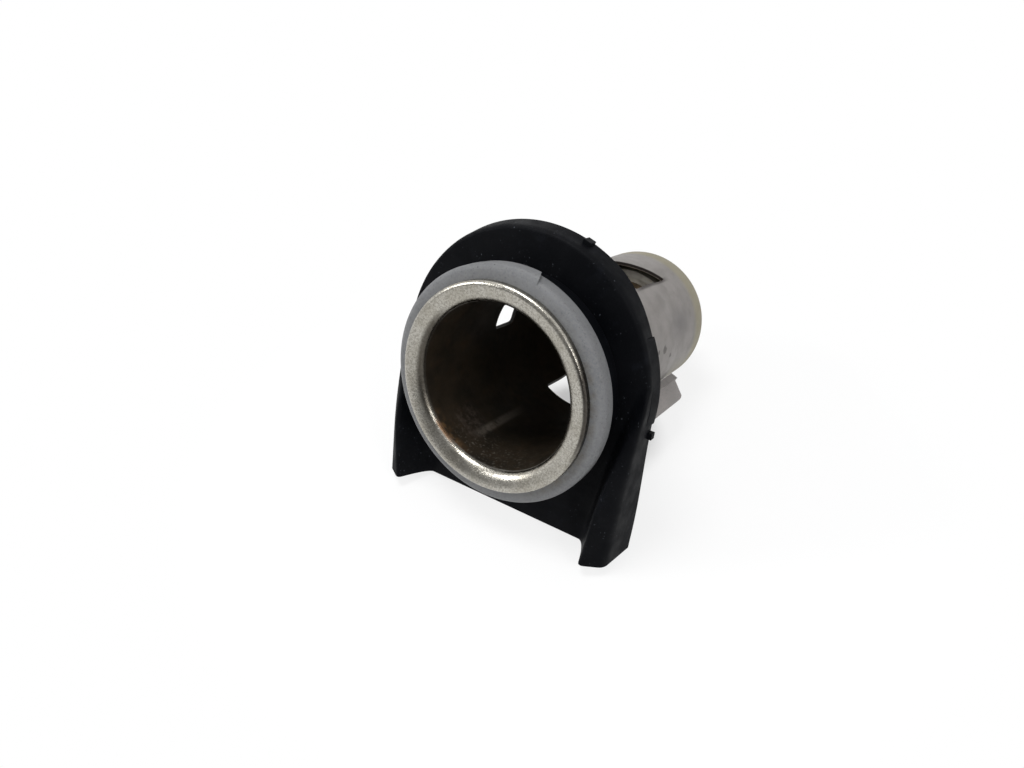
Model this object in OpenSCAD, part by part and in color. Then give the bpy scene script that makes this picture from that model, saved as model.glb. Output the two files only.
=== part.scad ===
/* [Socket barrel] */
// Radius of the bore that takes the plug
bore_r = 10.5; // [10:0.1:11]
// Thickness of the drawn sheet of the barrel
barrel_wall = 0.5; // [0.4:0.05:0.6]
// Length of the barrel from the bore mouth to the closed end
barrel_length = 43; // [42:0.5:47]
// Outside radius of the rounded corner at the closed end
barrel_corner_r = 2; // [1.5:0.25:3]
// Width of the rolled rim round the bore
rim_w = 2.6; // [2.4:0.05:2.9]
// Height of the rolled rim before the bore mouth
rim_rise = 1.4; // [1.2:0.1:1.6]

/* [Barrel windows] */
// Direction of the first grip window round the barrel, in degrees from +X
grip_angle = 78; // [74:1:82]
// Width of a grip window across the barrel
grip_w = 7.6; // [6:0.2:8.4]
// Front edge of the grip windows, as a share of the barrel's length
grip_front_share = 0.549; // [0.53:0.005:0.57]
// Rear edge of the grip windows, as a share of the barrel's length
grip_rear_share = 0.793; // [0.76:0.005:0.8]
// How much further forward the rear edge ends at its second corner
grip_slant = 4; // [1:0.2:4.4]
// Direction of the first catch window round the barrel, in degrees from +X
catch_angle = 158; // [156:0.5:160]
// Width of a catch window across the barrel
catch_w = 6.2; // [5.6:0.1:6.6]
// Front edge of the catch windows, as a share of the barrel's length
catch_front_share = 0.349; // [0.345:0.001:0.356]
// Length of a catch window along the barrel
catch_l = 4.5; // [3.6:0.1:4.8]

/* [Light ring] */
// Width of the ring on view round the rolled rim
ring_w = 1.7; // [1.5:0.05:1.9]
// Thickness of the ring at its outer edge
ring_edge = 2.2; // [2.2:0.1:2.4]
// Distance of the ring's seat behind the bore mouth
ring_seat = 1.8; // [1.8:0.05:2]
// Height of the ramp tooth on the ring's edge
tooth_h = 0.45; // [0.3:0.05:0.6]
// Wall of the sleeve behind the ring
sleeve_wall = 1.1; // [0.9:0.05:1.2]
// Rear end of the sleeve, as a share of the barrel's length
sleeve_share = 0.34; // [0.33:0.001:0.342]
// Gap between the sleeve and the barrel
sleeve_gap = 0.1; // [0.05:0.05:0.2]
// Rear end of the latch arms, as a share of the barrel's length
arm_share = 0.756; // [0.7:0.002:0.8]
// Height of the guide fins over the sleeve
fin_h = 2.5; // [1.8:0.1:2.7]

/* [Lamp] */
// Bore radius of the lamp tube
lamp_bore_r = 2.6; // [2.5:0.05:2.7]
// Wall of the lamp tube
lamp_wall = 0.8; // [0.6:0.05:0.9]
// Direction of the lamp round the barrel, in degrees from +X
lamp_angle = -150; // [-154:1:-146]
// Glass radius of the bulb
bulb_r = 2.2; // [2:0.05:2.3]
// Length of the bulb's glass
bulb_length = 8.5; // [7.5:0.5:9]

/* [Trim bezel] */
// Width of the bezel from the ring to the top of its arch
face_w = 2.85; // [2.6:0.05:3.4]
// Height of the arch's centre above the axis of the bore
arch_z = 0.9; // [0.5:0.1:1.2]
// How much narrower each side gets from the arch down to the foot
foot_taper = 0.55; // [0.2:0.05:1]
// How far the foot reaches below the arch's circle round the bore
foot_reach = 0.95; // [0.8:0.05:2.4]
// Distance of the flat face behind the bore mouth
face_y = 4.9; // [4.6:0.1:5.2]
// Thickness of the flat face
face_wall = 1.6; // [1.4:0.1:1.8]
// Distance of the bezel's rear edge behind the flat face
skirt_l = 2.7; // [2.5:0.1:3.7]
// Thickness of the bezel's side wall
side_wall = 1.5; // [1.3:0.1:1.7]
// How much the side wall flares out to the rear
side_flare = 0.45; // [0.2:0.05:0.6]
// How far the ears sweep forward of the flat face
ear_reach = 4.9; // [3:0.1:5.2]
// Width of an ear at the foot
ear_w = 5.3; // [4.6:0.1:6]
// Wall of the collar round the sleeve
collar_wall = 1.5; // [1.3:0.1:1.7]

/* [Contacts] */
// Depth of the contact face, as a share of the barrel's length
contact_share = 0.805; // [0.795:0.005:0.815]
// Gap round the moulded contact base inside the bore
base_gap = 1.7; // [1.1:0.1:2.5]
// Width of the base on view round the centre contact
contact_gap = 1.8; // [1.4:0.1:2.8]
// Thickness of the centre contact's sheet
contact_t = 0.6; // [0.5:0.05:0.8]
// Radius of the rivet's shank
rivet_r = 2; // [1.8:0.1:2.2]
// Bore radius of the hollow rivet
rivet_bore_r = 1.3; // [1:0.1:1.4]
// Thickness of the rear insulating washer
washer_t = 1.2; // [1:0.1:1.5]
// Width of the blade terminals
blade_w = 6.3; // [5.8:0.1:6.3]
// Thickness of the blade terminals
blade_t = 0.8; // [0.7:0.05:0.8]
// Length of the blades behind their bends
blade_l = 5.5; // [5:0.25:6]

/* [Hidden] */

// Smoothness of round things
fine = 96;
medium = 48;
small = 32;
curve_steps = 10;
near_half_share = 0.45;
past = 0.5;
half_turn = 180;
quarter_turn = 90;

// Barrel
barrel_r = bore_r + barrel_wall;
grip_front = barrel_length * grip_front_share;
grip_rear = barrel_length * grip_rear_share;
catch_front = barrel_length * catch_front_share;
neck_start_share = 0.675;
neck_start = barrel_length * neck_start_share;
neck_run = 2;
neck_step = 0.4;
tail_bore_r = bore_r - neck_step;
floor_front = barrel_length - barrel_wall;
floor_corner_r = barrel_corner_r - barrel_wall;
rim_r = bore_r + rim_w;
rim_roll = 0.6;
rim_crown_r = rim_r - rim_roll;
rim_lip_in = 0.15;
rim_lip_drop = 0.45;
ring_front = ring_seat - ring_edge;
rim_gap = 0.02;
rim_fold_end = ring_front - rim_gap;
floor_margin = 1.6;
floor_hole_r = rivet_r + floor_margin;
window_round = 0.5;

// Light ring
sleeve_bore_r = barrel_r + sleeve_gap;
sleeve_r = sleeve_bore_r + sleeve_wall;
ring_r = rim_r + ring_w;
ring_round = 0.7;
ring_round_steps = 6;
ring_mouth_w = 0.35;
ring_mouth_r = sleeve_bore_r + ring_mouth_w;
ring_mouth_depth = 0.6;
sleeve_length = barrel_length * sleeve_share;
tooth_from = 75;
tooth_to = 110;
tooth_steps = 14;
tooth_back = 0.3;
tooth_front = ring_front + ring_round;
tooth_rear = ring_seat - tooth_back;
tooth_root = 0.6;
tooth_tip_turn = 1.5;
catch_play = 0.15;
catch_tongue_w = 1.6;
catch_short = 0.05;
catch_depth = barrel_wall + sleeve_gap - catch_short;
arm_end = barrel_length * arm_share;
arm_angle = -31.5;
arm_half_turn = 9;
arm_steps = 8;
fin_angle = -30.5;
fin_r = sleeve_r + fin_h;
fin_front_share = 0.62;
fin_short = 0.5;
fin_front = arm_end * fin_front_share;
fin_rear = arm_end - fin_short;
fin_root_w = 3.2;
fin_crest_w = 0.8;
fin_sink = 0.5;
fin_ramp = 1.6;

// Lamp
housing_r = lamp_bore_r + lamp_wall;
housing_l = 9;
saddle_l = 3.2;
housing_gap = 0.1;
saddle_r = sleeve_r + housing_gap;
saddle_wall = 0.9;
saddle_half_turn = 28;
saddle_inset = 0.4;
housing_front = sleeve_length - saddle_l;
housing_rear = housing_front + housing_l;
lamp_sink = 0.3;
lamp_centre = saddle_r + housing_r - lamp_sink;
housing_front_wall = 0.8;
light_port_r = 1.7;
bulb_gap = 0.3;
bulb_front = housing_front + housing_front_wall + bulb_gap;
bulb_end = bulb_front + bulb_length;
bulb_foot_l = 3;
bulb_foot_w = 3.2;
bulb_foot_t = 1.3;
glass_t = 0.35;
holder_play = 0.05;
holder_r = lamp_bore_r - holder_play;
holder_grip = 0.8;
holder_cap_lip = 0.2;
holder_cap_r = housing_r + holder_cap_lip;
holder_cap_l = 2.6;
holder_front = bulb_end - bulb_foot_l + holder_grip;
holder_cap_rear = housing_rear + holder_cap_l;
holder_grip_w = 1.6;
holder_grip_l = 2;
slot_play = 0.05;
pin_w = 1.6;
pin_t = 0.4;
pin_l = 3;
pin_reach = 4.5;
pin_gap = 0.02;

// Bezel
arch_r = ring_r + face_w;
foot_half_w = arch_r - foot_taper;
foot_drop = arch_r + foot_reach;
bezel_rear = face_y + skirt_l;
ear_top = 3.6;
ear_roof = 1.75;
ear_land = ear_reach - ear_roof;
ear_crest_in = 1;
ear_crest_run = 1.7;
ear_valley_in = 1.45;
ear_valley_run = ear_w - ear_valley_in;
skin_overlap = 0.8;
core_overlap = 0.4;
pocket_overlap = 0.2;
crest_full_share = 0.72;
edge_r = 0.9;
land_r = 0.7;
crest_r = 0.8;
pocket_corner = 0.3;
pocket_slope = 0.6;
side_steps = 18;
arch_steps = 40;
slope_steps = 5;
round_steps = 3;
waist_from = 22;
waist_to = 56;
waist_foot = 16;
collar_gap = 0.2;
collar_bore_r = sleeve_r + collar_gap;
collar_r = collar_bore_r + collar_wall;
collar_past = 1.2;
collar_rear = bezel_rear + collar_past;
rib_w = 1.2;
rib_sink = 0.5;
nub_w = 1;
nub_h = 0.3;
nub_l = 1.3;
nub_angle = 70;
nub_z = -2.4;
pad_h = 0.3;
pad_from = -6;
pad_to = 28;
pad_l = 2;
pad_steps = 8;

// Contacts
contact_depth = barrel_length * contact_share;
base_r = bore_r - base_gap;
contact_r = base_r - contact_gap;
base_front = contact_depth + contact_t;
base_flange_l = 1.8;
base_boss_r = 6;
rivet_gap = 0.05;
base_bore_r = rivet_r + rivet_gap;
base_rim_w = 0.9;
base_rim_h = 0.4;
rivet_head_r = 3.3;
rivet_head_t = 0.5;
rivet_tail_r = 2.9;
rivet_tail_t = 0.6;
earth_ring_r = 6.4;
earth_bore_r = floor_hole_r;
earth_front = barrel_length;
earth_rear = earth_front + blade_t;
washer_r = 7.4;
washer_gap = 0.1;
washer_collar_r = floor_hole_r - washer_gap;
washer_rear = earth_rear + washer_t;
positive_ring_r = 4.4;
positive_rear = washer_rear + blade_t;
lock_r = 3.4;
lock_t = 0.6;
lock_rear = positive_rear + lock_t;
bend_r = 1;
blade_x = 4.6;
blade_hole_r = 0.9;
blade_hole_back = 2.2;
blade_tip = 0.9;

// Maps a drawn axis onto the axis of the bore, starting at the given depth
module along_bore(depth) {
  translate([0, depth, 0])
    rotate([-90, 0, 0])
      children();
}

module at_angle(angle) {
  rotate([0, -angle, 0])
    children();
}

// Pushes a flat shape outwards; the shape is drawn as (minus width, depth)
module push_out(from_r, to_r) {
  translate([from_r, 0, 0])
    rotate([0, 90, 0])
      linear_extrude(to_r - from_r)
        children();
}

// A straight body along the bore with a flat section of (radial, width)
module run_back(from_y, to_y) {
  along_bore(from_y)
    linear_extrude(to_y - from_y)
      children();
}

module tube(outer_r, inner_r, from_y, to_y, smooth) {
  along_bore(from_y)
    difference() {
      cylinder(r = outer_r, h = to_y - from_y, $fn = smooth);
      translate([0, 0, -past])
        cylinder(r = inner_r, h = to_y - from_y + 2 * past, $fn = smooth);
    }
}

module rod(rod_r, from_y, to_y, smooth) {
  along_bore(from_y)
    cylinder(r = rod_r, h = to_y - from_y, $fn = smooth);
}

module sector(reach, from_angle, to_angle, steps) {
  polygon(concat([[0, 0]],
    [for (i = [0:steps])
      let (a = from_angle + (to_angle - from_angle) * i / steps)
      [reach * cos(a), -reach * sin(a)]]));
}

function smooth_share(s) = s * s * (3 - 2 * s);
function clamp_share(s) = max(0, min(1, s));
function mix_share(a, b, s) = a + (b - a) * s;
function quad(a, b, c, s) = mix_share(mix_share(a, b, s), mix_share(b, c, s), s);
function toward(a, b, d) = a + (b - a) * min(d / norm(b - a), near_half_share);

// Quarter of an ellipse from the side point to the top point
function quarter_curve(centre, side, top, steps) =
  [for (i = [0:steps])
    let (a = quarter_turn * i / steps)
    [centre[0] + side * cos(a), centre[1] - top * sin(a)]];

function reversed(list) = [for (i = [len(list) - 1:-1:0]) list[i]];

// Rolled rim: the sheet flares out of the bore, crests near its edge and folds back
function rim_skin(inset) =
  let (lip = [bore_r + rim_lip_in + inset, inset - rim_rise + rim_lip_drop])
  let (crown = [rim_crown_r, inset - rim_rise])
  let (fold_h = (rim_fold_end - crown[1]) / 2)
  let (fold = [rim_crown_r, crown[1] + fold_h])
  concat(
    [for (i = [0:curve_steps - 1]) quad([bore_r + inset, 0], lip, crown, i / curve_steps)],
    reversed(quarter_curve(fold, rim_roll - inset, fold_h, curve_steps)),
    [[rim_r - inset, rim_fold_end]]);

module barrel_shell() {
  corner_y = barrel_length - barrel_corner_r;
  tail_r = tail_bore_r + barrel_wall;
  outer_corner = reversed(quarter_curve([tail_r - barrel_corner_r, corner_y],
    barrel_corner_r, -barrel_corner_r, curve_steps));
  inner_corner = quarter_curve([tail_bore_r - floor_corner_r, corner_y],
    floor_corner_r, -floor_corner_r, curve_steps);
  along_bore(0)
    rotate_extrude($fn = fine)
      polygon(concat(
        [[0, floor_front]],
        reversed(inner_corner),
        [[tail_bore_r, neck_start + neck_run], [bore_r, neck_start]],
        rim_skin(0),
        reversed(rim_skin(barrel_wall)),
        [[barrel_r, neck_start], [tail_r, neck_start + neck_run]],
        reversed(outer_corner),
        [[0, barrel_length]]));
}

module grip_window_shape() {
  inner_w = grip_w - 2 * window_round;
  offset(r = window_round, $fn = small)
    polygon([
      [-inner_w / 2, grip_front + window_round],
      [inner_w / 2, grip_front + window_round],
      [inner_w / 2, grip_rear - window_round],
      [-inner_w / 2, grip_rear - grip_slant - window_round]]);
}

module catch_shape() {
  translate([-catch_w / 2, catch_front])
    square([catch_w, catch_l]);
}

module socket_barrel() {
  color([0.62, 0.61, 0.58])
    difference() {
      barrel_shell();
      for (turn = [0, half_turn]) {
        at_angle(grip_angle + turn)
          push_out(bore_r - past - neck_step, barrel_r + past)
            grip_window_shape();
        at_angle(catch_angle + turn)
          push_out(bore_r - past, barrel_r + past)
            catch_shape();
      }
      rod(floor_hole_r, floor_front - past, barrel_length + past, medium);
    }
}

module ring_body() {
  edge = reversed(quarter_curve([ring_r - ring_round, ring_front + ring_round],
    ring_round, ring_round, ring_round_steps));
  along_bore(0)
    rotate_extrude($fn = fine)
      polygon(concat(
        [[ring_mouth_r, ring_front]],
        edge,
        [[ring_r, ring_seat],
         [sleeve_r, ring_seat],
         [sleeve_r, sleeve_length],
         [sleeve_bore_r, sleeve_length],
         [sleeve_bore_r, ring_mouth_depth]]));
}

// Ramp tooth that grows round the edge of the ring and ends in a steep step
module ring_tooth() {
  root_r = ring_r - tooth_root;
  run_back(tooth_front, tooth_rear)
    polygon(concat(
      [for (i = [0:tooth_steps])
        let (s = i / tooth_steps)
        let (a = mix_share(tooth_to, tooth_from + tooth_tip_turn, s))
        let (r = ring_r + tooth_h * s)
        [r * cos(a), -r * sin(a)]],
      [for (i = [tooth_steps:-1:0])
        let (s = i / tooth_steps)
        let (a = mix_share(tooth_to, tooth_from, s))
        [root_r * cos(a), -root_r * sin(a)]]));
}

// Tongue inside a latch arm that catches in one side of the barrel's window
module catch_tongue() {
  intersection() {
    push_out(barrel_r - catch_depth + sleeve_gap, sleeve_bore_r + sleeve_wall / 2)
      translate([catch_w / 2 - catch_tongue_w, catch_front + catch_play])
        square([catch_tongue_w - catch_play, catch_l - 2 * catch_play]);
    tube(sleeve_r, sleeve_bore_r - catch_depth, sleeve_length, arm_end, fine);
  }
}

// Latch arm that follows the barrel and carries a tapered guide fin
module latch_arm() {
  intersection() {
    tube(sleeve_r, sleeve_bore_r, sleeve_length - past, arm_end, fine);
    run_back(sleeve_length - 2 * past, arm_end + past)
      sector(sleeve_r + past, arm_angle - arm_half_turn, arm_angle + arm_half_turn, arm_steps);
  }
  difference() {
    at_angle(fin_angle)
      run_back(fin_front, fin_rear)
        polygon([
          [sleeve_r - fin_sink, -fin_root_w / 2],
          [fin_r, -fin_crest_w / 2],
          [fin_r, fin_crest_w / 2],
          [sleeve_r - fin_sink, fin_root_w / 2]]);
    at_angle(fin_angle)
      translate([0, 0, -fin_root_w])
        linear_extrude(2 * fin_root_w)
          polygon([
            [sleeve_r + fin_sink, fin_front - past],
            [fin_r + past, fin_front - past],
            [fin_r + past, fin_front + fin_ramp + past],
            [sleeve_r, fin_front]]);
  }
}

module light_ring() {
  color([0.44, 0.45, 0.46]) {
    ring_body();
    ring_tooth();
    for (turn = [0, half_turn]) {
      at_angle(turn)
        latch_arm();
      at_angle(catch_angle + turn)
        catch_tongue();
    }
  }
}

// Bezel stations: [outline x, outline z, inward x, inward z, ear share, waist share]
function side_x(z) = mix_share(arch_r, foot_half_w, (arch_z - z) / (arch_z + foot_drop));
function ear_share(z) = clamp_share((ear_top - z) / (ear_top + foot_drop));
function side_station(z, side) =
  [side * side_x(z), z, -side, 0, ear_share(z),
   1 - smooth_share(clamp_share((arch_z - z) / (arch_z + waist_foot)))];
function arch_station(a) =
  let (z = arch_z + arch_r * sin(a))
  let (low = min(a, half_turn - a))
  [arch_r * cos(a), z, -cos(a), -sin(a), ear_share(z),
   1 - smooth_share(clamp_share((low - waist_from) / (waist_to - waist_from)))];
function bezel_stations(foot_z) = concat(
  [for (i = [0:side_steps - 1]) side_station(mix_share(foot_z, arch_z, i / side_steps), -1)],
  [for (i = [0:arch_steps]) arch_station(half_turn - half_turn * i / arch_steps)],
  [for (i = [1:side_steps]) side_station(mix_share(arch_z, foot_z, i / side_steps), 1)]);

function crest_in(e) = ear_crest_in + ear_crest_run * e;
function valley_in(e) = ear_valley_in + ear_valley_run * pow(e, 0.75);
function land_y(e) = face_y - ear_land * pow(e, 0.43);
function crest_y(e) =
  face_y - ear_reach * sin(quarter_turn * pow(clamp_share(e / crest_full_share), 1.4));
function flare_out(w) = side_flare * (1 - 3 * w / 2);

// Outer section of the bezel's edge as [inward, depth] points, rear edge first
function skin_section(e, w) =
  let (rear = [-flare_out(w), bezel_rear])
  let (land = [0, land_y(e)])
  let (crest = [crest_in(e), crest_y(e)])
  let (valley = [valley_in(e), face_y])
  let (foot = mix_share(valley, [crest_in(e), face_y], 0.35))
  let (land_a = toward(land, rear, edge_r))
  let (land_b = toward(land, crest, land_r))
  let (crest_a = toward(crest, land, crest_r))
  let (crest_b = toward(crest, foot, crest_r))
  concat(
    [rear],
    [for (i = [0:round_steps]) quad(land_a, land, land_b, i / round_steps)],
    [for (i = [0:round_steps]) quad(crest_a, crest, crest_b, i / round_steps)],
    [for (i = [1:slope_steps]) quad(crest_b, foot, valley, i / slope_steps)],
    [[valley_in(e) + skin_overlap, face_y], [valley_in(e) + skin_overlap, bezel_rear]]);

// Section of the hollow behind the bezel's edge
function pocket_section(e, w) =
  let (crest = max(crest_in(e), side_wall + pocket_corner))
  let (slope = mix_share(crest_in(e), valley_in(e), 0.45))
  let (inner = max(valley_in(e) + skin_overlap, side_wall + pocket_slope + pocket_corner))
  [[side_wall - flare_out(w), bezel_rear + past],
   [side_wall, land_y(e) + face_wall],
   [crest, crest_y(e) + face_wall],
   [max(slope, side_wall + pocket_slope), face_y + face_wall],
   [inner, face_y + face_wall],
   [inner, bezel_rear + past]];

function place(st, p) = [st[0] + st[2] * p[0], p[1], st[1] + st[3] * p[0]];

// Lofts a closed section through a row of stations and caps both ends
module loft(rows) {
  n = len(rows);
  m = len(rows[0]);
  sides = [for (i = [0:n - 2]) for (j = [0:m - 1])
    let (k = (j + 1) % m)
    for (face = [[0, m + k - j, k - j], [0, m, m + k - j]])
      [for (step = face) i * m + j + step]];
  last = (n - 1) * m;
  first_cap = [for (j = [1:m - 2]) [0, j, j + 1]];
  last_cap = [for (j = [1:m - 2]) [last, last + j + 1, last + j]];
  polyhedron(points = [for (row = rows) for (p = row) p],
    faces = concat(sides, first_cap, last_cap));
}

module bezel_skin() {
  loft([for (st = bezel_stations(-foot_drop))
    [for (p = skin_section(st[4], st[5])) place(st, p)]]);
}

module bezel_pocket() {
  loft([for (st = bezel_stations(side_wall - foot_drop))
    [for (p = pocket_section(st[4], st[5])) place(st, p)]]);
}

// Flat body between the valley lines, as deep as given
module bezel_core(foot_z, extra_in, from_y, to_y) {
  run_back(from_y, to_y)
    polygon([for (st = bezel_stations(foot_z))
      let (p = place(st, [valley_in(st[4]) + extra_in, 0]))
      [p[0], -p[2]]]);
}

module bezel_ribs() {
  rib_reach = arch_r - side_wall / 2;
  rib_foot = foot_drop - side_wall / 2;
  rib_front = face_y + face_wall - rib_sink;
  for (turn = [45, 90, 135, 185, 355])
    at_angle(turn)
      translate([collar_r - rib_sink, rib_front, -rib_w / 2])
        cube([rib_reach - collar_r + rib_sink, bezel_rear - rib_front - rib_sink, rib_w]);
  at_angle(-quarter_turn)
    translate([collar_r - rib_sink, rib_front, -rib_w / 2])
      cube([rib_foot - collar_r + rib_sink, bezel_rear - rib_front - rib_sink, rib_w]);
}

// Small nubs on one side and raised pads on both sides of the rear edge
module bezel_edge_marks() {
  nub_root = arch_r - side_wall / 2;
  translate([0, 0, arch_z])
    at_angle(nub_angle)
      translate([nub_root, bezel_rear - nub_l, -nub_w / 2])
        cube([side_flare + nub_h + side_wall / 2, nub_l, nub_w]);
  translate([nub_root, bezel_rear - nub_l, nub_z - nub_w / 2])
    cube([nub_h + side_wall / 2, nub_l, nub_w]);
  for (side = [1, -1])
    translate([0, 0, arch_z])
      run_back(bezel_rear - pad_l, bezel_rear)
        scale([side, 1])
          difference() {
            sector(arch_r - side_flare / 2 + pad_h, pad_from, pad_to, pad_steps);
            sector(nub_root, pad_from - pad_l, pad_to + pad_l, pad_steps);
          }
}

module trim_bezel() {
  color([0.09, 0.09, 0.1])
    difference() {
      union() {
        difference() {
          union() {
            bezel_skin();
            bezel_core(-foot_drop, core_overlap, face_y, bezel_rear);
          }
          bezel_pocket();
          bezel_core(side_wall - foot_drop, skin_overlap - pocket_overlap,
            face_y + face_wall, bezel_rear + past);
        }
        rod(collar_r, ring_seat, collar_rear, fine);
        bezel_ribs();
        bezel_edge_marks();
      }
      rod(collar_bore_r, ring_seat - past, collar_rear + past, fine);
    }
}

// Moulded base that holds the centre contact away from the barrel
module contact_base() {
  rim_front = base_front - base_rim_h;
  color([0.62, 0.6, 0.55])
    difference() {
      union() {
        rod(base_r, rim_front, base_front + base_flange_l, fine);
        rod(base_boss_r, base_front, floor_front, medium);
      }
      rod(base_r - base_rim_w, rim_front - past, base_front, fine);
      rod(base_bore_r, base_front - past, floor_front + past, small);
    }
}

module centre_contact() {
  color([0.72, 0.55, 0.3])
    tube(contact_r, base_bore_r, contact_depth, base_front, fine);
}

// Hollow rivet: flat head on the contact, rolled tail behind the washers
module contact_rivet() {
  color([0.74, 0.58, 0.32])
    along_bore(0)
      rotate_extrude($fn = medium)
        polygon([
          [rivet_bore_r, contact_depth - rivet_head_t],
          [rivet_head_r - rivet_head_t, contact_depth - rivet_head_t],
          [rivet_head_r, contact_depth],
          [rivet_r, contact_depth],
          [rivet_r, lock_rear],
          [rivet_tail_r, lock_rear],
          [rivet_tail_r - rivet_tail_t / 2, lock_rear + rivet_tail_t],
          [rivet_bore_r, lock_rear + rivet_tail_t]]);
}

// The earth terminal's blade passes through a slot in this washer
module rear_washer() {
  slot_in = blade_x - bend_r - washer_gap / 2;
  slot_out = blade_x + blade_t + washer_gap;
  slot_w = blade_w + 2 * washer_gap;
  color([0.16, 0.15, 0.14])
    difference() {
      union() {
        rod(washer_r, earth_rear, washer_rear, medium);
        rod(washer_collar_r, floor_front, washer_rear, medium);
      }
      rod(base_bore_r, floor_front - past, washer_rear + past, small);
      translate([slot_in, earth_rear - past, -slot_w / 2])
        cube([slot_out - slot_in, washer_t + 2 * past, slot_w]);
    }
}

// Flat ring with a tab that bends back into a blade on the +X side
module blade_terminal(outer_r, inner_r, from_y) {
  bend_x = blade_x - bend_r;
  bend_y = from_y + blade_t + bend_r;
  blade_end = bend_y + blade_l;
  difference() {
    union() {
      rod(outer_r, from_y, from_y + blade_t, medium);
      translate([0, from_y, -blade_w / 2])
        cube([bend_x, blade_t, blade_w]);
    }
    rod(inner_r, from_y - past, from_y + blade_t + past, medium);
    translate([bend_x, from_y - past, -outer_r])
      cube([outer_r, blade_t + 2 * past, 2 * outer_r]);
  }
  intersection() {
    translate([bend_x, bend_y, -blade_w / 2])
      difference() {
        cylinder(r = bend_r + blade_t, h = blade_w, $fn = small);
        translate([0, 0, -past])
          cylinder(r = bend_r, h = blade_w + 2 * past, $fn = small);
      }
    translate([bend_x, from_y - past, -blade_w])
      cube([2 * blade_w, bend_y - from_y + past, 2 * blade_w]);
  }
  difference() {
    translate([blade_x, bend_y, 0])
      rotate([0, 90, 0])
        linear_extrude(blade_t)
          polygon([
            [-blade_w / 2, 0],
            [blade_w / 2, 0],
            [blade_w / 2, blade_l - blade_tip],
            [blade_w / 2 - blade_tip, blade_l],
            [blade_tip - blade_w / 2, blade_l],
            [-blade_w / 2, blade_l - blade_tip]]);
    translate([blade_x - past, blade_end - blade_hole_back, 0])
      rotate([0, 90, 0])
        cylinder(r = blade_hole_r, h = blade_t + 2 * past, $fn = small);
  }
}

module earth_terminal() {
  color([0.7, 0.7, 0.68])
    blade_terminal(earth_ring_r, earth_bore_r, earth_front);
}

module positive_terminal() {
  color([0.75, 0.6, 0.34])
    at_angle(half_turn)
      blade_terminal(positive_ring_r, base_bore_r, washer_rear);
}

module rivet_washer() {
  color([0.66, 0.66, 0.64])
    tube(lock_r, base_bore_r, positive_rear, lock_rear, medium);
}

module at_lamp() {
  at_angle(lamp_angle)
    translate([lamp_centre, 0, 0])
      children();
}

// Tube for the bulb on a saddle that clips round the sleeve
module lamp_housing() {
  color([0.75, 0.75, 0.72])
    difference() {
      union() {
        intersection() {
          tube(saddle_r + saddle_wall, saddle_r, housing_front + saddle_inset,
            sleeve_length, fine);
          run_back(housing_front - past, housing_rear + past)
            sector(saddle_r + housing_r, lamp_angle - saddle_half_turn,
              lamp_angle + saddle_half_turn, arm_steps);
        }
        at_lamp()
          rod(housing_r, housing_front, housing_rear, medium);
      }
      rod(saddle_r, housing_front - past, housing_rear + past, fine);
      at_lamp()
        rod(lamp_bore_r, housing_front + housing_front_wall, housing_rear + past, medium);
      at_lamp()
        rod(light_port_r, housing_front - past, housing_rear, small);
    }
}

// Wedge bulb: thin glass dome on a flat glass foot
module lamp_bulb() {
  dome_y = bulb_front + bulb_r;
  dome_end = bulb_end - bulb_foot_l;
  color([0.86, 0.88, 0.88])
    at_lamp()
      difference() {
        union() {
          along_bore(0)
            rotate_extrude($fn = medium)
              polygon(concat(
                [[0, dome_end]],
                [[bulb_r, dome_end]],
                quarter_curve([0, dome_y], bulb_r, bulb_r, curve_steps)));
          translate([-bulb_foot_w / 2, dome_end - past, -bulb_foot_t / 2])
            cube([bulb_foot_w, bulb_foot_l + past, bulb_foot_t]);
        }
        along_bore(0)
          rotate_extrude($fn = medium)
            polygon(concat(
              [[0, dome_end - glass_t * 2]],
              [[bulb_r - glass_t, dome_end - glass_t * 2]],
              quarter_curve([0, dome_y], bulb_r - glass_t, bulb_r - glass_t, curve_steps)));
      }
}

// Push-in holder with a slot for the bulb's foot and two slots for the pins
module lamp_holder() {
  foot_slot_w = bulb_foot_w + 2 * slot_play;
  foot_slot_t = bulb_foot_t + 2 * slot_play;
  pin_slot_t = pin_t + 2 * slot_play;
  color([0.2, 0.2, 0.21])
    at_lamp()
      difference() {
        union() {
          rod(holder_r, holder_front, housing_rear + past, medium);
          rod(holder_cap_r, housing_rear, holder_cap_rear, medium);
          translate([-holder_cap_r, holder_cap_rear - past, -holder_grip_w / 2])
            cube([2 * holder_cap_r, holder_grip_l + past, holder_grip_w]);
        }
        translate([-foot_slot_w / 2, holder_front - past, -foot_slot_t / 2])
          cube([foot_slot_w, bulb_end - holder_front + past, foot_slot_t]);
        for (side = [1, -1])
          translate([-pin_w / 2 - slot_play, holder_front - past,
            side * (bulb_foot_t / 2 + pin_gap + pin_t / 2) - pin_slot_t / 2])
            cube([pin_w + 2 * slot_play, holder_cap_rear + holder_grip_l, pin_slot_t]);
      }
}

// Two contact strips that grip the bulb's foot and end as pins
module lamp_contacts() {
  strip_front = bulb_end - pin_reach / 2;
  strip_end = holder_cap_rear + pin_l;
  color([0.74, 0.62, 0.38])
    at_lamp()
      for (side = [1, -1])
        translate([-pin_w / 2, strip_front,
          side * (bulb_foot_t / 2 + pin_gap + pin_t / 2) - pin_t / 2])
          cube([pin_w, strip_end - strip_front, pin_t]);
}

trim_bezel();
light_ring();
socket_barrel();
contact_base();
centre_contact();
contact_rivet();
rear_washer();
earth_terminal();
positive_terminal();
rivet_washer();
lamp_housing();
lamp_bulb();
lamp_holder();
lamp_contacts();
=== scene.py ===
import math

import bmesh
import bpy
from mathutils import Matrix, Vector


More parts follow.
